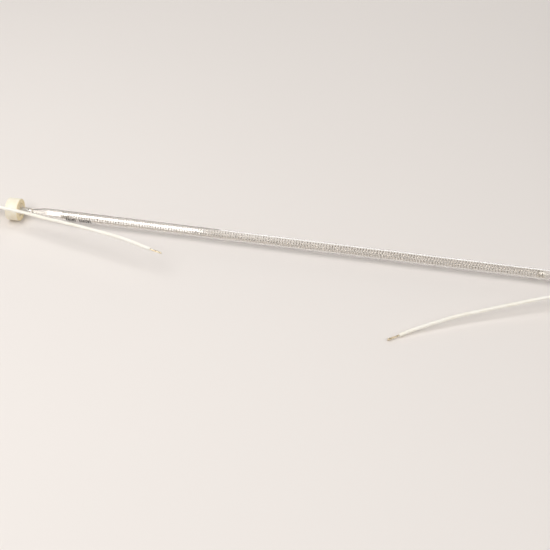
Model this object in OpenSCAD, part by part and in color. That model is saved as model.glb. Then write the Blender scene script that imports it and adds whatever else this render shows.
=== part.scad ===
// Quartz heating tube with a coiled resistance wire, ceramic end caps and two free leads.
// X runs along the tube, Z is up, and the end caps stand on the surface z = 0.

/* [Quartz tube] */
// Distance between the inner faces of the two end caps
span = 548; // [530:1:700]
// Outer diameter of the quartz tube
tube_d = 10; // [9:0.5:12]
// Wall thickness of the quartz tube
tube_wall = 1; // [0.8:0.1:1.2]
// Length over which each end of the tube is drawn down
shoulder_len = 20; // [14:1:28]
// Diameter of the neck at each end of the tube
neck_d = 6.2; // [5.6:0.1:7]
// Length of the neck between the shoulder and the end cap
neck_show = 10; // [9:0.5:18]
// Solid quartz between the end of the bore and the end of the shoulder
bore_stop = 1.5; // [1:0.1:3]
// Diameter of the bore where it ends in the neck
bore_end_d = 3.8; // [3:0.1:4.4]
// Depth of the round end of the bore
bore_dome = 1; // [0.5:0.1:1.8]

/* [Heating coil] */
// Diameter of the resistance wire
wire_d = 0.6; // [0.4:0.05:0.8]
// Radial gap between the coil and the bore of the tube
coil_gap = 0.5; // [0.3:0.05:0.8]
// Advance of one turn
coil_pitch = 2.65; // [2.2:0.01:2.7]
// Number of turns
coil_turns = 174; // [60:1:174]

/* [Inner leads and seals] */
// Diameter of the rod that carries current to the coil
rod_d = 1; // [0.8:0.1:1.4]
// Number of turns of the coil that sit on the plug of each rod
plug_turns = 2; // [1:1:5]
// Clearance between the plug and the turns
plug_gap = 0.02; // [0.02:0.01:0.1]
// Thickness of the flange that the last turn rests against
flange_t = 0.5; // [0.4:0.1:1]
// Chamfer on the plug's inner end
plug_chamfer = 0.5; // [0.2:0.1:1]
// Width of the foil in the neck
foil_w = 3; // [2:0.1:4]
// Thickness of the foil
foil_t = 0.1; // [0.05:0.01:0.2]
// Length of the foil
foil_len = 9; // [7:0.5:10]
// Quartz between the start of the neck and the foil
foil_inset = 1.5; // [1:0.5:2]
// Length over which the foil lies on the rod and on the pin
foil_lap = 2; // [1:0.5:2.5]
// Diameter of the outer pin
pin_d = 0.8; // [0.6:0.1:1]

/* [End caps] */
// Diameter of the ceramic end cap
cap_d = 22; // [20:0.5:30]
// Length of the end cap
cap_len = 12.5; // [12:0.5:18]
// Chamfer on the end cap's rims
cap_chamfer = 0.8; // [0.4:0.1:1.2]
// Diameter of the recess in the inner face
recess_d = 14; // [12:0.5:16]
// Depth of the recess
recess_depth = 4; // [3:0.25:4.5]
// Radial room for cement round the neck
cement_gap = 1.2; // [0.8:0.1:1.6]
// Depth of the cement's rim under the inner face
cement_low = 2.4; // [1.6:0.1:2.8]
// Height by which the cement climbs along the neck
cement_climb = 1.2; // [0.4:0.1:1.5]
// Depth to which the neck reaches into the end cap
neck_seat = 5; // [4.5:0.25:5.5]
// Thickness of the end cap's outer wall
outer_wall = 3; // [2:0.25:3.5]
// Radial gap between the lead and its hole
lead_gap = 0.2; // [0.1:0.05:0.5]
// Chamfer on the outer mouth of the lead's hole
mouth_chamfer = 0.6; // [0.3:0.1:1]

/* [Leads] */
// Diameter of the insulated lead
lead_d = 3.2; // [2.8:0.1:3.6]
// Diameter of the stranded core
core_d = 1.6; // [1.2:0.1:1.8]
// Length of bare core at the free end
strip_len = 12; // [8:1:20]
// Length over which the strands make one turn
lay_len = 18; // [10:1:40]
// Diameter of the crimp sleeve
crimp_d = 2.4; // [2.2:0.1:3]
// Length of the crimp sleeve
crimp_len = 3; // [2.4:0.1:4]
// Gap between the neck and the crimp sleeve
crimp_gap = 0.5; // [0.2:0.1:1]

/* [Hidden] */
$fn = 48;

axis_z = cap_d / 2;
bore_d = tube_d - 2 * tube_wall;
face_x = span / 2;
neck_x = face_x - neck_show;
shoulder_x = neck_x - shoulder_len;
bore_x = neck_x - bore_stop - bore_dome;
neck_end_x = face_x + neck_seat;
shoulder_steps = 12;
dome_steps = 6;

coil_d = bore_d - 2 * coil_gap;
turn_r = (coil_d - wire_d) / 2;
coil_len = coil_turns * coil_pitch;
coil_x = coil_len / 2;
arc_r = norm([turn_r, coil_pitch / 4]);
turn_tilt = atan(coil_pitch / 4 / turn_r);

plug_d = 2 * turn_r - wire_d - 2 * plug_gap;
plug_x = coil_x - plug_turns * coil_pitch;
flange_x = coil_x + wire_d / 2 + plug_gap;
flange_end_x = flange_x + flange_t;
foil_x = neck_x + foil_inset;
foil_end_x = foil_x + foil_len;

crimp_x = neck_end_x + crimp_gap;
crimp_mid_x = crimp_x + crimp_len / 2;
crimp_end_x = crimp_x + crimp_len;
cap_end_x = face_x + cap_len;
socket_d = neck_d + 2 * cement_gap;
socket_end_x = cap_end_x - outer_wall;
hole_d = lead_d + 2 * lead_gap;

lead_sides = 8;
strand_count = 6;
strand_steps = 8;

// Middle line of the left lead: out of the cap, round a loop, and back in front of the tube
left_route = [
    [-282.5, 0, 11], [-290, 0, 11], [-298, 0.8, 10.6], [-305.5, 3.2, 9.6], [-312.5, 6.3, 8.3],
    [-319.5, 8.9, 7.3], [-327, 9.9, 6.9], [-334.8, 8.2, 8.1], [-340.4, 3.7, 11.5], [-342.5, -2.5, 16.2],
    [-340.4, -8.7, 20.9], [-334.8, -13.2, 24.3], [-327, -14.9, 25.5], [-319.5, -15.1, 25.6],
    [-312, -14.8, 25.2], [-305, -14.3, 24.6], [-298.5, -13.9, 24], [-292, -13.8, 23.6], [-286, -14, 23.5],
    [-278, -15, 23.8], [-270, -16.5, 24], [-262, -18, 24.5], [-254, -20, 25], [-246, -22, 25.5],
    [-238, -24, 26], [-230, -26, 26.8], [-222, -27.5, 27.5], [-214, -29.5, 28], [-206, -31, 28.6],
    [-198, -33, 29], [-190, -34.8, 29.4], [-182, -36.5, 29.6], [-174, -38, 29.7], [-166, -39.8, 29.7],
    [-158, -41.5, 29.6], [-150, -43.5, 29.3], [-142, -45.5, 28.7], [-134.5, -47.5, 28],
    [-127.5, -49.2, 27.2]
];

// Middle line of the right lead: out of the cap, round a loop, and down to the surface
right_route = [
    [282.5, 0, 11], [290, 0, 11], [298, 0.9, 10.9], [306, 3.3, 10.7], [313.8, 6.1, 10.5], [321.5, 7.7, 10.4],
    [329.3, 5.7, 10.9], [334.9, 0.2, 12.1], [337, -7.4, 13.8], [334.9, -15, 15.5], [329.3, -20.5, 16.7],
    [321.5, -22.5, 17.2], [313.8, -22.8, 17.4], [304.5, -21.8, 17.5], [295, -20.8, 17.5], [286, -21, 17.3],
    [278, -22.5, 17], [270, -24, 16.5], [262, -25.5, 16.1], [254, -27.5, 15.5], [246, -29.5, 15],
    [238, -31.8, 14.5], [230, -34, 13.9], [222, -36.8, 12.9], [214, -39.8, 12.1], [206.5, -43, 11.5],
    [199, -46, 11], [191.5, -49.2, 10.6], [184, -52.4, 10.1], [176.5, -55.6, 9.6], [169, -58.8, 9.1],
    [161.5, -62, 8.6], [154, -65.5, 8], [147, -69, 7.5], [140, -72.8, 6.7], [133, -76.4, 5.9],
    [126, -80.2, 5], [119, -84, 4], [112.5, -88, 3.1], [107, -91.8, 2.4]
];

// Places what is drawn along +X from the middle at the chosen end of the tube
module at_end(side) {
    translate([0, 0, axis_z]) mirror([side < 0 ? 1 : 0, 0, 0]) children();
}

// Turns a profile of [distance along X, radius] points about the tube's axis
module lathe(profile) {
    rotate([0, 90, 0]) rotate_extrude() polygon([for (p = profile) [p[1], p[0]]]);
}

// A round bar along the tube's axis
module bar(d, from_x, to_x) {
    translate([from_x, 0, 0]) rotate([0, 90, 0]) cylinder(d = d, h = to_x - from_x);
}

// A smooth narrowing from one radius to another between two stations
function shoulder(x_a, x_b, r_a, r_b) = [
    for (i = [0:shoulder_steps])
        let (share = i / shoulder_steps)
            [x_a + (x_b - x_a) * share, r_b + (r_a - r_b) * (1 + cos(180 * share)) / 2]
];

function mirrored(profile) = [for (i = [len(profile) - 1:-1:0]) [-profile[i][0], profile[i][1]]];

// A quarter of an ellipse that closes an outline of radius r onto the axis
function dome(x, depth, r) = [
    for (i = [1:dome_steps])
        let (a = 90 * i / dome_steps)
            [x + depth * sin(a), i < dome_steps ? r * cos(a) : 0]
];

// Outline of the hollow in one half of the tube, with a round end
bore_half = concat(
    shoulder(shoulder_x, bore_x, bore_d / 2, bore_end_d / 2),
    dome(bore_x, bore_dome, bore_end_d / 2)
);
outer_half = concat(
    shoulder(shoulder_x, neck_x, tube_d / 2, neck_d / 2),
    [[neck_end_x, neck_d / 2], [neck_end_x, 0]]
);

module quartz_tube() {
    color([0.85, 0.88, 0.9, 0.35]) difference() {
        translate([0, 0, axis_z]) lathe(concat(mirrored(outer_half), outer_half));
        translate([0, 0, axis_z]) lathe(concat(mirrored(bore_half), bore_half));
        for (side = [-1, 1]) at_end(side) {
            bar(rod_d, bore_x, foil_x + foil_lap);
            foil();
            bar(pin_d, foil_end_x - foil_lap, neck_end_x + pin_d);
        }
    }
}

// Half a turn of wire, starting at +X and rising through +Y
module half_turn() {
    rotate_extrude(angle = 180) translate([arc_r, 0]) circle(d = wire_d);
}

// Each turn is two tilted half circles that meet end to end with no kink
module heating_coil() {
    color([0.62, 0.6, 0.57]) translate([-coil_x, 0, axis_z])
        for (i = [0:coil_turns - 1]) translate([i * coil_pitch, 0, 0]) {
            translate([coil_pitch / 4, 0, 0]) rotate([90, 0, 90 + turn_tilt]) half_turn();
            translate([coil_pitch * 3 / 4, 0, 0]) rotate([-90, 0, -90 - turn_tilt]) half_turn();
        }
}

// A plug inside the last turns, a flange that they rest against, and a rod that runs into the neck
module inner_lead(side) {
    color([0.7, 0.7, 0.72]) at_end(side) difference() {
        lathe([
            [plug_x, 0], [plug_x, plug_d / 2 - plug_chamfer], [plug_x + plug_chamfer, plug_d / 2],
            [flange_x, plug_d / 2], [flange_x, coil_d / 2], [flange_end_x, coil_d / 2],
            [flange_end_x, rod_d / 2], [foil_x + foil_lap, rod_d / 2], [foil_x + foil_lap, 0]
        ]);
        lap_cut(foil_x, foil_x + foil_lap + rod_d, rod_d);
    }
}

// Room above the flat on which the foil lies
module lap_cut(from_x, to_x, d) {
    translate([from_x, -d, -foil_t / 2]) cube([to_x - from_x, 2 * d, 2 * d]);
}

module foil() {
    translate([foil_x, -foil_w / 2, -foil_t / 2]) cube([foil_len, foil_w, foil_t]);
}

module seal_foil(side) {
    color([0.55, 0.55, 0.58]) at_end(side) foil();
}

module outer_pin(side) {
    color([0.6, 0.6, 0.62]) at_end(side) difference() {
        bar(pin_d, foil_end_x - foil_lap, crimp_mid_x);
        lap_cut(foil_end_x - foil_lap - pin_d, foil_end_x, pin_d);
    }
}

module crimp_sleeve(side) {
    color([0.75, 0.72, 0.68]) at_end(side) difference() {
        bar(crimp_d, crimp_x, crimp_end_x);
        bar(pin_d, crimp_x - pin_d, crimp_mid_x);
        bar(core_d, crimp_mid_x, crimp_end_x + core_d);
    }
}

module end_cap(side) {
    color([0.95, 0.91, 0.8]) at_end(side) lathe([
        [face_x, recess_d / 2], [face_x, cap_d / 2 - cap_chamfer], [face_x + cap_chamfer, cap_d / 2],
        [cap_end_x - cap_chamfer, cap_d / 2], [cap_end_x, cap_d / 2 - cap_chamfer],
        [cap_end_x, hole_d / 2 + mouth_chamfer], [cap_end_x - mouth_chamfer, hole_d / 2],
        [socket_end_x, hole_d / 2], [socket_end_x, socket_d / 2],
        [face_x + recess_depth, socket_d / 2], [face_x + recess_depth, recess_d / 2]
    ]);
}

// Cement fills the recess and the socket round the neck and the lead, and climbs a little along the neck
module cement(side) {
    color([0.9, 0.82, 0.66]) at_end(side) difference() {
        lathe([
            [face_x + cement_low, recess_d / 2], [face_x + recess_depth, recess_d / 2],
            [face_x + recess_depth, socket_d / 2], [socket_end_x, socket_d / 2],
            [socket_end_x, 0], [face_x + cement_low - cement_climb, 0],
            [face_x + cement_low - cement_climb, neck_d / 2]
        ]);
        bar(neck_d, face_x - neck_d, neck_end_x);
        bar(pin_d, neck_end_x, crimp_x);
        bar(crimp_d, crimp_x, socket_end_x + crimp_d);
        bar(lead_d, crimp_end_x, socket_end_x + lead_d);
    }
}

module lead_core(side) {
    color([0.8, 0.66, 0.46]) at_end(side) bar(core_d, crimp_mid_x, crimp_end_x);
}

function unit(v) = v / norm(v);

// Direction of a route at one of its points
function heading(route, i) = unit(route[min(i + 1, len(route) - 1)] - route[max(i - 1, 0)]);

// The part of a vector that is square to a direction, at unit length
function squared(v, along) = unit(v - (v * along) * along);

// Sideways directions that follow a route without twisting
function sideways(route) = [
    for (i = 0, n = squared([0, 0, 1], heading(route, 0)); i < len(route);
         i = i + 1, n = i < len(route) ? squared(n, heading(route, i)) : n) n
];

// A round tube of the given diameter swept through the points of a route
module swept(route, d, sides) {
    side_dirs = sideways(route);
    points = [
        for (i = [0:len(route) - 1])
            let (n = side_dirs[i], b = cross(heading(route, i), n))
                for (k = [0:sides - 1])
                    let (a = 360 * (k + 0.5) / sides)
                        route[i] + d / 2 * (cos(a) * n + sin(a) * b)
    ];
    last = (len(route) - 1) * sides;
    walls = [
        for (i = [0:len(route) - 2]) for (k = [0:sides - 1])
            let (a = i * sides + k, b = i * sides + (k + 1) % sides)
                each [[a, a + sides, b + sides], [a, b + sides, b]]
    ];
    polyhedron(
        points = points,
        faces = concat([[for (k = [0:sides - 1]) k]], walls, [[for (k = [sides - 1:-1:0]) last + k]])
    );
}

module lead(route) {
    color([0.97, 0.95, 0.9]) swept(route, lead_d, lead_sides);
}

// Outline across the strands: a ring of round bulges
function strand_outline(d) = [
    for (a = [0:10:350])
        (d / 2 * (0.86 + 0.14 * abs(cos(a * strand_count / 2)))) * [cos(a), sin(a)]
];

// The twisted strands run on straight from the end of the lead
module bare_strands(route) {
    end = route[len(route) - 1];
    along = heading(route, len(route) - 1);
    color([0.85, 0.7, 0.5]) translate(end)
        rotate([0, acos(along[2]), atan2(along[1], along[0])])
            linear_extrude(height = strip_len, twist = -360 * strip_len / lay_len, slices = strand_steps)
                polygon(strand_outline(core_d));
}

quartz_tube();
heating_coil();
inner_lead(-1);  // inner_lead_left
inner_lead(1);  // inner_lead_right
seal_foil(-1);  // seal_foil_left
seal_foil(1);  // seal_foil_right
outer_pin(-1);  // outer_pin_left
outer_pin(1);  // outer_pin_right
crimp_sleeve(-1);  // crimp_sleeve_left
crimp_sleeve(1);  // crimp_sleeve_right
end_cap(-1);  // end_cap_left
end_cap(1);  // end_cap_right
cement(-1);  // cement_left
cement(1);  // cement_right
lead_core(-1);  // lead_core_left
lead_core(1);  // lead_core_right
lead(left_route);  // lead_left
lead(right_route);  // lead_right
bare_strands(left_route);  // bare_strands_left
bare_strands(right_route);  // bare_strands_right
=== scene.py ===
"""Looks of the quartz heating tube: quartz, coiled wire, ceramic caps, cement and two white leads."""
import math
import random

import bpy
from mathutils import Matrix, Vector, noise


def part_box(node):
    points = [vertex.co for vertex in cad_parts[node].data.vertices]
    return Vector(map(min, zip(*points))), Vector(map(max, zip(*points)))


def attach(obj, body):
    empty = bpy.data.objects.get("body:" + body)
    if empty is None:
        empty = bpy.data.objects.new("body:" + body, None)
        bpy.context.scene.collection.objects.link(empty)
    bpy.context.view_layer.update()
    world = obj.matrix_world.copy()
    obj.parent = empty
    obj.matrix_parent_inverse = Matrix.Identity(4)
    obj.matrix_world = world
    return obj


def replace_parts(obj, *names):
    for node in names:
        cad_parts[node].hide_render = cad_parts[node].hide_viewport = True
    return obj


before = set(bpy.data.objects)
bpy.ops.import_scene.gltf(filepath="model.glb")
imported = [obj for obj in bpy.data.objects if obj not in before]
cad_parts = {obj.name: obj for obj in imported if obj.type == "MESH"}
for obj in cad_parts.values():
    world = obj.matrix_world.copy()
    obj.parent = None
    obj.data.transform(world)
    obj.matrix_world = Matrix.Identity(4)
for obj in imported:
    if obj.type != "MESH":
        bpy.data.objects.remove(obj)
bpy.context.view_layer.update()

MM = 0.001

# Camera, at the photograph's viewing angle
CAMERA_TARGET = Vector((-0.01381, -0.0343, 0.0))
CAMERA_ELEVATION = 44.0
CAMERA_TURN = -10.43
CAMERA_DISTANCE = 0.9177
CAMERA_LENS = 64.45
SENSOR_WIDTH = 36.0

# Sizes taken from the frame
tube_low, tube_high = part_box("quartz_tube")
cap_low, cap_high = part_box("end_cap_right")
cement_low, cement_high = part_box("cement_right")
AXIS_Z = (tube_low.z + tube_high.z) / 2
TUBE_R = (tube_high.z - tube_low.z) / 2
TUBE_END = tube_high.x
CAP_FACE = cap_low.x
CAP_END = cap_high.x
CAP_R = (cap_high.z - cap_low.z) / 2
RECESS_R = (cement_high.z - cement_low.z) / 2
CEMENT_START = cement_low.x
CEMENT_END = cement_high.x

# Sizes that the boxes don't give
TUBE_WALL = 1 * MM
NECK_R = 3.1 * MM
NECK_START = CAP_FACE - 10 * MM
SHOULDER_START = NECK_START - 20 * MM
BORE_DOME = 1 * MM
SOLID_START = NECK_START - 1.5 * MM
BORE_END = SOLID_START - BORE_DOME
BORE_END_R = 1.9 * MM
NECK_BEVEL = 0.3 * MM
WIRE_R = 0.3 * MM
COIL_R = 3.2 * MM
COIL_PITCH = 2.65 * MM
COIL_TURNS = 174
RECESS_DEPTH = 4 * MM
SOCKET_R = 4.3 * MM
CEMENT_LOW = 2.4 * MM
LUMP_HEIGHT = 0.35 * MM
HOLE_R = 1.8 * MM
HOLE_BEVEL = 0.6 * MM
LEAD_R = 1.6 * MM
CORE_R = 0.8 * MM
LEAD_CUT = 0.25 * MM
STRIP_LENGTH = 12 * MM
LAY_LENGTH = 18 * MM
STRAND_R = CORE_R / 5
STRAND_RING_GAP = STRAND_R * 1.95
STRAND_HIDDEN = 1.5 * MM
STRAND_LIFT = 2 * MM
LEAD_STEPS = 6

# Printed marks: bars on the glass in two groups, with the angles between +Y and each bar's ends
INK_START = -0.2262
INK_GROUPS = ((1.2, 1.5, 1.0, 1.4, 1.1), (1.3, 1.0, 1.5, 1.2, 1.4, 1.0))
INK_GAP = 0.9 * MM
INK_GROUP_GAP = 3 * INK_GAP
INK_LOW_ANGLE = math.radians(166)
INK_HIGH_ANGLE = math.radians(222)
INK_OUTER_R = TUBE_R + 0.02 * MM
INK_INNER_R = TUBE_R + 0.002 * MM
INK_POINTS = 6

# Middle line of each lead, as in the solids
LEFT_ROUTE = [
    (-0.2825, 0, 0.011), (-0.29, 0, 0.011), (-0.298, 0.0008, 0.0106), (-0.3055, 0.0032, 0.0096),
    (-0.3125, 0.0063, 0.0083), (-0.3195, 0.0089, 0.0073), (-0.327, 0.0099, 0.0069),
    (-0.3348, 0.0082, 0.0081), (-0.3404, 0.0037, 0.0115), (-0.3425, -0.0025, 0.0162),
    (-0.3404, -0.0087, 0.0209), (-0.3348, -0.0132, 0.0243), (-0.327, -0.0149, 0.0255),
    (-0.3195, -0.0151, 0.0256), (-0.312, -0.0148, 0.0252), (-0.305, -0.0143, 0.0246),
    (-0.2985, -0.0139, 0.024), (-0.292, -0.0138, 0.0236), (-0.286, -0.014, 0.0235),
    (-0.278, -0.015, 0.0238), (-0.27, -0.0165, 0.024), (-0.262, -0.018, 0.0245), (-0.254, -0.02, 0.025),
    (-0.246, -0.022, 0.0255), (-0.238, -0.024, 0.026), (-0.23, -0.026, 0.0268),
    (-0.222, -0.0275, 0.0275), (-0.214, -0.0295, 0.028), (-0.206, -0.031, 0.0286),
    (-0.198, -0.033, 0.029), (-0.19, -0.0348, 0.0294), (-0.182, -0.0365, 0.0296),
    (-0.174, -0.038, 0.0297), (-0.166, -0.0398, 0.0297), (-0.158, -0.0415, 0.0296),
    (-0.15, -0.0435, 0.0293), (-0.142, -0.0455, 0.0287), (-0.1345, -0.0475, 0.028),
    (-0.1275, -0.0492, 0.0272),
]
RIGHT_ROUTE = [
    (0.2825, 0, 0.011), (0.29, 0, 0.011), (0.298, 0.0009, 0.0109), (0.306, 0.0033, 0.0107),
    (0.3138, 0.0061, 0.0105), (0.3215, 0.0077, 0.0104), (0.3293, 0.0057, 0.0109),
    (0.3349, 0.0002, 0.0121), (0.337, -0.0074, 0.0138), (0.3349, -0.015, 0.0155),
    (0.3293, -0.0205, 0.0167), (0.3215, -0.0225, 0.0172), (0.3138, -0.0228, 0.0174),
    (0.3045, -0.0218, 0.0175), (0.295, -0.0208, 0.0175), (0.286, -0.021, 0.0173),
    (0.278, -0.0225, 0.017), (0.27, -0.024, 0.0165), (0.262, -0.0255, 0.0161), (0.254, -0.0275, 0.0155),
    (0.246, -0.0295, 0.015), (0.238, -0.0318, 0.0145), (0.23, -0.034, 0.0139), (0.222, -0.0368, 0.0129),
    (0.214, -0.0398, 0.0121), (0.2065, -0.043, 0.0115), (0.199, -0.046, 0.011),
    (0.1915, -0.0492, 0.0106), (0.184, -0.0524, 0.0101), (0.1765, -0.0556, 0.0096),
    (0.169, -0.0588, 0.0091), (0.1615, -0.062, 0.0086), (0.154, -0.0655, 0.008),
    (0.147, -0.069, 0.0075), (0.14, -0.0728, 0.0067), (0.133, -0.0764, 0.0059), (0.126, -0.0802, 0.005),
    (0.119, -0.084, 0.004), (0.1125, -0.088, 0.0031), (0.107, -0.0918, 0.0024),
]


def add_camera():
    """Looks down on the target from CAMERA_ELEVATION, turned by CAMERA_TURN from +Y towards +X."""
    tilt, turn = math.radians(CAMERA_ELEVATION), math.radians(CAMERA_TURN)
    forward = Vector((math.sin(turn) * math.cos(tilt), math.cos(turn) * math.cos(tilt), -math.sin(tilt)))
    data = bpy.data.cameras.new("camera")
    data.lens = CAMERA_LENS
    data.sensor_width = SENSOR_WIDTH
    data.clip_start, data.clip_end = 0.01, 20
    camera = bpy.data.objects.new("camera", data)
    camera.location = CAMERA_TARGET - forward * CAMERA_DISTANCE
    camera.rotation_mode = "QUATERNION"
    camera.rotation_quaternion = forward.to_track_quat("-Z", "Y")
    bpy.context.collection.objects.link(camera)
    bpy.context.scene.camera = camera


def new_object(name, verts, faces, material):
    """A smooth shaded mesh object that rides on the part's only body."""
    mesh = bpy.data.meshes.new(name)
    mesh.from_pydata([tuple(v) for v in verts], [], faces)
    mesh.validate()
    mesh.shade_smooth()
    mesh.materials.append(material)
    obj = bpy.data.objects.new(name, mesh)
    bpy.context.collection.objects.link(obj)
    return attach(obj, "root")


def rounded(profile, corners, steps=5):
    """Rounds some corners of a profile; corners maps a point's number to the rounding's reach."""
    out = []
    for i, p in enumerate(profile):
        if i not in corners:
            out.append(p)
            continue
        here = Vector(p)
        before, after = Vector(profile[i - 1]), Vector(profile[(i + 1) % len(profile)])
        start = here + (before - here).normalized() * corners[i]
        end = here + (after - here).normalized() * corners[i]
        for k in range(steps + 1):
            t = k / steps
            out.append(tuple(start * (1 - t) ** 2 + here * 2 * t * (1 - t) + end * t ** 2))
    return out


def lathe_parts(profile, segments, closed=False, first=0):
    """Turns [place along X, radius] points about the tube's axis; faces look outwards where X grows."""
    verts, faces, rings = [], [], []
    for x, r in profile:
        if r < 1e-9:
            rings.append([first + len(verts)] * segments)
            verts.append((x, 0, AXIS_Z))
            continue
        rings.append([first + len(verts) + k for k in range(segments)])
        for k in range(segments):
            a = 2 * math.pi * k / segments
            verts.append((x, r * math.cos(a), AXIS_Z + r * math.sin(a)))
    pairs = list(zip(rings, rings[1:])) + ([(rings[-1], rings[0])] if closed else [])
    for ring, following in pairs:
        for k in range(segments):
            n = (k + 1) % segments
            corners = []
            for v in (ring[k], ring[n], following[n], following[k]):
                if v not in corners:
                    corners.append(v)
            if len(corners) > 2:
                faces.append(corners)
    return verts, faces


def for_side(profile, side):
    """The profile as it lies at the chosen end, still running so that its faces look outwards."""
    if side > 0:
        return list(profile)
    return [(-x, r) for x, r in reversed(profile)]


def smooth_line(points, steps):
    """A Catmull-Rom line through the points."""
    pts = [Vector(p) for p in points]
    line = []
    for i in range(len(pts) - 1):
        a, b, c, d = pts[max(i - 1, 0)], pts[i], pts[i + 1], pts[min(i + 2, len(pts) - 1)]
        for k in range(steps):
            t = k / steps
            line.append(0.5 * (2 * b + (c - a) * t + (2 * a - 5 * b + 4 * c - d) * t ** 2
                               + (3 * b - a - 3 * c + d) * t ** 3))
    line.append(pts[-1])
    return line


def pipe_parts(line, radii, sides, first=0):
    """A round pipe along a line of points, with a flat end at both ends."""
    verts, faces = [], []
    side_dir = None
    for i, p in enumerate(line):
        along = (line[min(i + 1, len(line) - 1)] - line[max(i - 1, 0)]).normalized()
        if side_dir is None:
            side_dir = along.orthogonal()
        side_dir = (side_dir - along * side_dir.dot(along)).normalized()
        other = along.cross(side_dir)
        for k in range(sides):
            a = 2 * math.pi * k / sides
            verts.append(p + (side_dir * math.cos(a) + other * math.sin(a)) * radii[i])
    for i in range(len(line) - 1):
        for k in range(sides):
            n = (k + 1) % sides
            a, b = first + i * sides, first + (i + 1) * sides
            faces.append((a + k, a + n, b + n, b + k))
    last = first + (len(line) - 1) * sides
    faces.append([first + k for k in reversed(range(sides))])
    faces.append([last + k for k in range(sides)])
    return verts, faces


def node_tree(name):
    """A new material, its node tree and its Principled shader."""
    material = bpy.data.materials.new(name)
    material.use_nodes = True
    return material, material.node_tree, material.node_tree.nodes["Principled BSDF"]


def set_inputs(shader, **values):
    """Sets inputs by name, with _ for each space."""
    for key, value in values.items():
        shader.inputs[key.replace("_", " ")].default_value = value


def grain(tree, scale, detail=4.0, stretch=(1, 1, 1)):
    """A noise in the object's own metres; scale is in ripples a metre."""
    place = tree.nodes.new("ShaderNodeTexCoord")
    mapping = tree.nodes.new("ShaderNodeMapping")
    mapping.inputs["Scale"].default_value = stretch
    texture = tree.nodes.new("ShaderNodeTexNoise")
    texture.inputs["Scale"].default_value = scale
    texture.inputs["Detail"].default_value = detail
    tree.links.new(place.outputs["Object"], mapping.inputs["Vector"])
    tree.links.new(mapping.outputs["Vector"], texture.inputs["Vector"])
    return texture.outputs["Fac"]


def ramp(tree, source, stops):
    """Maps a value to colours; stops are (position, colour)."""
    node = tree.nodes.new("ShaderNodeValToRGB")
    elements = node.color_ramp.elements
    while len(elements) > 1:
        elements.remove(elements[-1])
    elements[0].position, elements[0].color = stops[0][0], (*stops[0][1], 1)
    for position, colour in stops[1:]:
        elements.new(position).color = (*colour, 1)
    tree.links.new(source, node.inputs["Fac"])
    return node.outputs["Color"]


def between(tree, source, low, high):
    """Maps a noise to a range of plain values."""
    node = tree.nodes.new("ShaderNodeMapRange")
    node.inputs["From Min"].default_value = 0.3
    node.inputs["From Max"].default_value = 0.7
    node.inputs["To Min"].default_value = low
    node.inputs["To Max"].default_value = high
    tree.links.new(source, node.inputs["Value"])
    return node.outputs["Result"]


def bump(tree, shader, source, strength, distance):
    """Raises the surface by a noise, at most distance metres."""
    node = tree.nodes.new("ShaderNodeBump")
    node.inputs["Strength"].default_value = strength
    node.inputs["Distance"].default_value = distance
    tree.links.new(source, node.inputs["Height"])
    tree.links.new(node.outputs["Normal"], shader.inputs["Normal"])


def quartz_material():
    """Clear fused quartz with faint drawing lines; lamps shine through it."""
    material, tree, shader = node_tree("quartz")
    set_inputs(shader, Base_Color=(0.978, 0.967, 0.95, 1), IOR=1.46, Specular_IOR_Level=1.0)
    set_inputs(shader, Transmission_Weight=1)
    set_inputs(shader, Coat_Weight=0.5, Coat_Roughness=0.02, Coat_IOR=1.5)
    lines = grain(tree, 1, 3, (4, 900, 900))
    tree.links.new(between(tree, lines, 0.005, 0.05), shader.inputs["Roughness"])
    bump(tree, shader, lines, 0.12, 0.0001)
    clear = tree.nodes.new("ShaderNodeBsdfTransparent")
    clear.inputs["Color"].default_value = (0.92, 0.917, 0.915, 1)
    path = tree.nodes.new("ShaderNodeLightPath")
    surface = shader.outputs["BSDF"]
    for ray in ("Is Shadow Ray", "Is Diffuse Ray"):
        mix = tree.nodes.new("ShaderNodeMixShader")
        tree.links.new(path.outputs[ray], mix.inputs["Fac"])
        tree.links.new(surface, mix.inputs[1])
        tree.links.new(clear.outputs["BSDF"], mix.inputs[2])
        surface = mix.outputs["Shader"]
    tree.links.new(surface, tree.nodes["Material Output"].inputs["Surface"])
    return material


def metal_material(name, light, dark, roughness, scale=900):
    """Drawn metal whose colour and polish vary a little."""
    material, tree, shader = node_tree(name)
    set_inputs(shader, Metallic=1.0)
    spots = grain(tree, scale, 5)
    tree.links.new(ramp(tree, spots, [(0.35, dark), (0.65, light)]), shader.inputs["Base Color"])
    tree.links.new(between(tree, spots, roughness * 0.7, roughness * 1.4), shader.inputs["Roughness"])
    bump(tree, shader, grain(tree, scale * 4, 2), 0.15, 0.00002)
    return material


def inner_face(tree):
    """1 on the caps' inner faces and in their recesses, 0 on their outer walls; it marks where the ceramic
    gets its painted shade.
    """
    place = tree.nodes.new("ShaderNodeTexCoord")
    split = tree.nodes.new("ShaderNodeSeparateXYZ")
    distance = tree.nodes.new("ShaderNodeMath")
    distance.operation = "ABSOLUTE"
    edge = tree.nodes.new("ShaderNodeMapRange")
    edge.inputs["From Min"].default_value = CAP_FACE + 0.9 * MM
    edge.inputs["From Max"].default_value = CAP_FACE + 0.1 * MM
    tree.links.new(place.outputs["Object"], split.inputs["Vector"])
    tree.links.new(split.outputs["X"], distance.inputs[0])
    tree.links.new(distance.outputs["Value"], edge.inputs["Value"])
    return edge.outputs["Result"]


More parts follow.
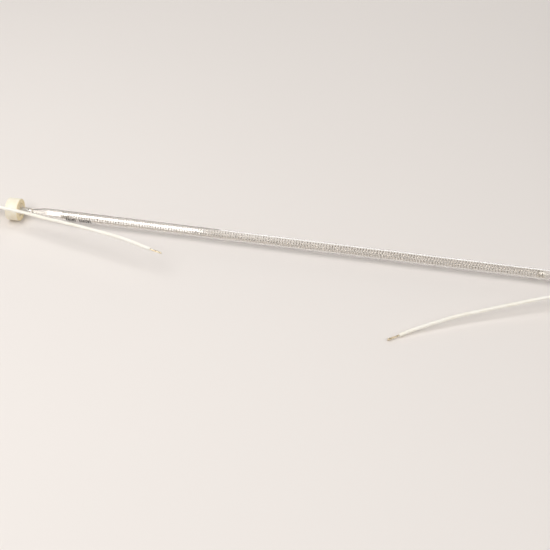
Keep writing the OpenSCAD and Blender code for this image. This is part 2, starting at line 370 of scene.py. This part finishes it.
def ceramic_material():
    """Unglazed cream ceramic whose tone varies at random; its inner faces and recesses carry a darker tan as
    painted shade.
    """
    material, tree, shader = node_tree("cap_ceramic")
    patches = grain(tree, 110, 4)
    plain = ramp(tree, patches, [
        (0.3, (0.93, 0.84, 0.65)), (0.5, (0.96, 0.89, 0.73)), (0.7, (0.98, 0.93, 0.81)),
    ])
    # Painted shade: a darker, more saturated tan for the inner faces and recesses.
    painted_shade_tan = ramp(tree, patches, [(0.3, (0.90, 0.74, 0.45)), (0.7, (0.97, 0.86, 0.61))])
    mix = tree.nodes.new("ShaderNodeMix")
    mix.data_type = "RGBA"
    tree.links.new(inner_face(tree), mix.inputs["Factor"])
    tree.links.new(plain, mix.inputs["A"])
    tree.links.new(painted_shade_tan, mix.inputs["B"])
    tree.links.new(mix.outputs["Result"], shader.inputs["Base Color"])
    tree.links.new(between(tree, grain(tree, 900, 3), 0.55, 0.8), shader.inputs["Roughness"])
    bump(tree, shader, grain(tree, 2600, 5), 0.35, 0.00008)
    return material


def cement_material():
    """Grainy cement, tan with darker specks."""
    material, tree, shader = node_tree("cement")
    specks = grain(tree, 1900, 6)
    tint = ramp(tree, specks, [
        (0.32, (0.72, 0.55, 0.34)), (0.5, (0.94, 0.81, 0.59)), (0.7, (0.98, 0.90, 0.73)),
    ])
    tree.links.new(tint, shader.inputs["Base Color"])
    set_inputs(shader, Roughness=0.9)
    bump(tree, shader, grain(tree, 2400, 6), 0.6, 0.0002)
    return material


def jacket_material():
    """Warm white silicone rubber with a soft sheen and a fine skin."""
    material, tree, shader = node_tree("lead_jacket")
    tint = ramp(tree, grain(tree, 60, 3), [(0.3, (0.99, 0.92, 0.80)), (0.6, (1.0, 0.95, 0.86))])
    tree.links.new(tint, shader.inputs["Base Color"])
    tree.links.new(between(tree, grain(tree, 1500, 3), 0.38, 0.52), shader.inputs["Roughness"])
    set_inputs(shader, Sheen_Weight=0.15, Subsurface_Weight=0.25)
    set_inputs(shader, Subsurface_Radius=(0.0012, 0.0012, 0.0012))
    bump(tree, shader, grain(tree, 2200, 4), 0.12, 0.00004)
    return material


def ink_material():
    """Dark ink that wore thin in places."""
    material, tree, shader = node_tree("tube_ink")
    worn = grain(tree, 2500, 4)
    tint = ramp(tree, worn, [(0.4, (0.05, 0.05, 0.05)), (0.7, (0.20, 0.19, 0.18))])
    tree.links.new(tint, shader.inputs["Base Color"])
    set_inputs(shader, Roughness=0.6)
    return material


def floor_material():
    """Plain warm white sheet."""
    material, tree, shader = node_tree("floor_sheet")
    tone = grain(tree, 1.2, 2)
    tint = ramp(tree, tone, [(0.3, (0.81, 0.757, 0.714)), (0.7, (0.83, 0.776, 0.732))])
    tree.links.new(tint, shader.inputs["Base Color"])
    set_inputs(shader, Roughness=0.85, Specular_IOR_Level=0.2)
    return material


def quartz_tube(material):
    """A tube whose ends are drawn down to solid necks: one outer skin and one closed hollow."""
    steps, dome_steps, segments = 14, 6, 96
    bore_r = TUBE_R - TUBE_WALL
    outer, hollow = [(0, TUBE_R)], [(0, bore_r)]
    for i in range(steps + 1):
        share = i / steps
        ease = (1 + math.cos(math.pi * share)) / 2
        outer.append((SHOULDER_START + (NECK_START - SHOULDER_START) * share,
                      NECK_R + (TUBE_R - NECK_R) * ease))
        hollow.append((SHOULDER_START + (BORE_END - SHOULDER_START) * share,
                       BORE_END_R + (bore_r - BORE_END_R) * ease))
    outer += [(TUBE_END - NECK_BEVEL, NECK_R), (TUBE_END, NECK_R - NECK_BEVEL), (TUBE_END, 0)]
    for i in range(1, dome_steps + 1):
        a = math.pi / 2 * i / dome_steps
        hollow.append((BORE_END + BORE_DOME * math.sin(a), BORE_END_R * math.cos(a)))
    whole = [(-x, r) for x, r in reversed(outer)] + outer[1:]
    inside = [(-x, r) for x, r in reversed(hollow)] + hollow[1:]
    verts, faces = lathe_parts(whole, segments)
    more, inner_faces = lathe_parts(inside[::-1], segments, first=len(verts))
    tube = new_object("quartz_tube_glass", verts + more, faces + inner_faces, material)
    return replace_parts(tube, "quartz_tube")


def heating_coil(material):
    """The whole coil as one wire, starting beside the axis and rising first."""
    steps, sides = 28, 8
    start = -COIL_TURNS * COIL_PITCH / 2
    line = []
    for i in range(COIL_TURNS * steps + 1):
        turn = i / steps
        a = 2 * math.pi * turn
        line.append(Vector((start + COIL_PITCH * turn, COIL_R * math.cos(a), AXIS_Z + COIL_R * math.sin(a))))
    coil = new_object("heating_coil_wire", *pipe_parts(line, [WIRE_R] * len(line), sides), material)
    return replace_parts(coil, "heating_coil")


def end_cap(side, name, material):
    """A turned ceramic cap with a recess in its inner face and a hole for the lead."""
    profile = [
        (CAP_FACE, RECESS_R), (CAP_FACE, CAP_R), (CAP_END, CAP_R), (CAP_END, HOLE_R + HOLE_BEVEL),
        (CAP_END - HOLE_BEVEL, HOLE_R), (CEMENT_END, HOLE_R), (CEMENT_END, SOCKET_R),
        (CAP_FACE + RECESS_DEPTH, SOCKET_R), (CAP_FACE + RECESS_DEPTH, RECESS_R),
    ]
    reach = {0: 0.4 * MM, 1: 1.2 * MM, 2: 1.2 * MM, 3: 0.3 * MM, 4: 0.3 * MM}
    verts, faces = lathe_parts(for_side(rounded(profile, reach), side), 96, closed=True)
    cap = new_object(f"end_cap_{name}_ceramic", verts, faces, material)
    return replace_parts(cap, f"end_cap_{name}")


def cement(side, name, material):
    """Cement round the neck, lumpy where it shows."""
    face = CAP_FACE + CEMENT_LOW
    profile = [(CEMENT_START, 0), (CEMENT_START, NECK_R)]
    steps = 10
    for i in range(1, steps + 1):
        share = i / steps
        profile.append((CEMENT_START + (face - CEMENT_START) * share ** 0.7,
                        NECK_R + (RECESS_R - NECK_R) * share))
    profile += [(CAP_FACE + RECESS_DEPTH, RECESS_R), (CAP_FACE + RECESS_DEPTH, SOCKET_R),
                (CEMENT_END, SOCKET_R), (CEMENT_END, 0)]
    verts, faces = lathe_parts(for_side(profile, side), 72)
    lumpy = []
    for v in verts:
        p = Vector(v)
        from_axis = math.hypot(p.y, p.z - AXIS_Z)
        shows = abs(p.x) < face + 0.01 * MM and NECK_R * 1.02 < from_axis < RECESS_R * 0.995
        if shows:
            p.x += side * LUMP_HEIGHT * (noise.noise(p * 700) + 0.6 * noise.noise(p * 1900))
        lumpy.append(p)
    piece = new_object(f"cement_{name}_grain", lumpy, faces, material)
    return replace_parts(piece, f"cement_{name}")


def lead(route, name, material):
    """The insulated lead, with a slightly rounded cut at its free end."""
    line = smooth_line(route, LEAD_STEPS)
    along = (line[-1] - line[-2]).normalized()
    end = line[-1]
    line[-1] = end - along * LEAD_CUT
    line += [end - along * LEAD_CUT * 0.32, end, end]
    radii = [LEAD_R] * (len(line) - 3) + [LEAD_R * 0.95, LEAD_R * 0.84, CORE_R]
    verts, faces = pipe_parts(line, radii, 20)
    piece = new_object(f"lead_{name}_jacket", verts, faces, material)
    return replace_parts(piece, f"lead_{name}")


def bare_strands(route, name, material, seed):
    """Nineteen fine strands in a loose twist, splayed and lifted at the tip."""
    chance = random.Random(seed)
    end, before = Vector(route[-1]), Vector(route[-2])
    along = (end - before).normalized()
    across = along.orthogonal().normalized()
    other = along.cross(across)
    steps, sides = 16, 7
    radii = [STRAND_R] * steps + [STRAND_R * 0.8]
    verts, faces = [], []
    for ring, count in ((0, 1), (1, 6), (2, 12)):
        for k in range(count):
            splay = chance.uniform(-0.4, 0.25) * CORE_R
            turn_off = chance.uniform(-0.15, 0.15)
            reach = STRIP_LENGTH * chance.uniform(0.94, 0.995)
            rise = chance.uniform(0, STRAND_LIFT) * (ring == 2)
            line = []
            for i in range(steps + 1):
                share = i / steps
                distance = (reach + STRAND_HIDDEN) * share - STRAND_HIDDEN
                a = 2 * math.pi * (k / count + distance / LAY_LENGTH) + turn_off * share ** 2
                r = ring * STRAND_RING_GAP + splay * share ** 3 * (ring > 0)
                outwards = across * math.cos(a) + other * math.sin(a)
                line.append(end + along * distance + outwards * r + Vector((0, 0, rise * share ** 2)))
            more, more_faces = pipe_parts(line, radii, sides, first=len(verts))
            verts += more
            faces += more_faces
    piece = new_object(f"bare_strands_{name}_wires", verts, faces, material)
    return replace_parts(piece, f"bare_strands_{name}")


def ink_bar(x, width, first):
    """One bar that follows the glass: an outer and an inner sheet, joined round their edges."""
    verts, faces = [], []
    for r in (INK_OUTER_R, INK_INNER_R):
        for place in (x, x + width):
            for k in range(INK_POINTS):
                a = INK_LOW_ANGLE + (INK_HIGH_ANGLE - INK_LOW_ANGLE) * k / (INK_POINTS - 1)
                verts.append((place, r * math.cos(a), AXIS_Z + r * math.sin(a)))
    near, far, near_in, far_in = (
        [first + row * INK_POINTS + k for k in range(INK_POINTS)] for row in range(4))
    for k in range(INK_POINTS - 1):
        n = k + 1
        faces.append((near[k], near[n], far[n], far[k]))
        faces.append((near_in[k], far_in[k], far_in[n], near_in[n]))
        faces.append((near[k], near_in[k], near_in[n], near[n]))
        faces.append((far[k], far[n], far_in[n], far_in[k]))
    faces.append((near[0], far[0], far_in[0], near_in[0]))
    faces.append((near[-1], near_in[-1], far_in[-1], far[-1]))
    return verts, faces


def ink_marks(material):
    """Plain bars printed along the tube, on the side that faces the camera."""
    verts, faces = [], []
    x = INK_START
    for group in INK_GROUPS:
        for width in group:
            more, more_faces = ink_bar(x, width * MM, len(verts))
            verts += more
            faces += more_faces
            x += width * MM + INK_GAP
        x += INK_GROUP_GAP
    return new_object("ink_marks", verts, faces, material)


def dress(node, material):
    """Gives a CAD node that stays in view its own material."""
    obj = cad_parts[node]
    obj.data.materials.clear()
    obj.data.materials.append(material)


def softbox(name, place, aim, width, depth, power):
    """A white area lamp at place that faces aim."""
    data = bpy.data.lights.new(name, "AREA")
    data.shape = "RECTANGLE"
    data.size, data.size_y = width, depth
    data.energy = power
    lamp = bpy.data.objects.new(name, data)
    lamp.location = place
    lamp.rotation_mode = "QUATERNION"
    lamp.rotation_quaternion = (Vector(aim) - Vector(place)).to_track_quat("-Z", "Y")
    bpy.context.collection.objects.link(lamp)


def add_floor(material):
    """The sheet under the part."""
    half = 4.0
    corners = [(-half, -half, 0), (half, -half, 0), (half, half, 0), (-half, half, 0)]
    mesh = bpy.data.meshes.new("floor")
    mesh.from_pydata(corners, [], [(0, 1, 2, 3)])
    mesh.materials.append(material)
    floor = bpy.data.objects.new("floor", mesh)
    bpy.context.collection.objects.link(floor)


def add_light():
    """A dim white surround and six lamps; the left panel makes the light band on the glass."""
    world = bpy.data.worlds.new("studio")
    world.use_nodes = True
    background = world.node_tree.nodes["Background"]
    background.inputs["Color"].default_value = (1, 1, 1, 1)
    background.inputs["Strength"].default_value = 0.12
    bpy.context.scene.world = world
    softbox("key", (-0.45, 0.31, 1.47), (-0.10, 0, 0), 0.5, 0.5, 1.1)
    softbox("left_panel", (-0.685, -0.49, 1.41), (-0.685, 0, 0), 0.51, 1.55, 17.8)
    softbox("shoulder_panel", (-1.1, -0.3, 1.4), (-0.5, 0, 0), 0.4, 0.6, 2.2)
    softbox("right_panel", (1.0, -0.4, 1.2), (0.2, 0, 0), 0.6, 1.2, 9.3)
    softbox("back_panel", (0.07, 1.40, 0.60), (0.07, 0, 0), 0.9, 1.2, 4.5)
    softbox("front_panel", (0, -1.6, 0.8), (0, 0, 0), 2.4, 1.0, 3)


add_camera()
jacket = jacket_material()
conductor = metal_material("conductor", (0.97, 0.88, 0.70), (0.80, 0.67, 0.47), 0.3)
STRAND_SEEDS = {"left": 5, "right": 8}
for name, route in (("left", LEFT_ROUTE), ("right", RIGHT_ROUTE)):
    jacket_piece = lead(route, name, jacket)
    strands = bare_strands(route, name, conductor, STRAND_SEEDS[name])

quartz_tube(quartz_material())
heating_coil(metal_material("resistance_wire", (0.79, 0.73, 0.66), (0.58, 0.53, 0.47), 0.24))
ceramic, grout = ceramic_material(), cement_material()
rod = metal_material("lead_rod", (0.82, 0.78, 0.72), (0.72, 0.68, 0.62), 0.5)
foil = metal_material("foil", (0.78, 0.75, 0.70), (0.62, 0.59, 0.55), 0.45)
crimp = metal_material("crimp", (0.76, 0.73, 0.69), (0.62, 0.60, 0.57), 0.3)
for name, side in (("left", -1), ("right", 1)):
    end_cap(side, name, ceramic)
    cement(side, name, grout)
    dress(f"inner_lead_{name}", rod)
    dress(f"seal_foil_{name}", foil)
    dress(f"outer_pin_{name}", rod)
    dress(f"crimp_sleeve_{name}", crimp)
    dress(f"lead_core_{name}", conductor)
ink_marks(ink_material())
add_floor(floor_material())
add_light()
bpy.context.scene.view_settings.view_transform = "Standard"
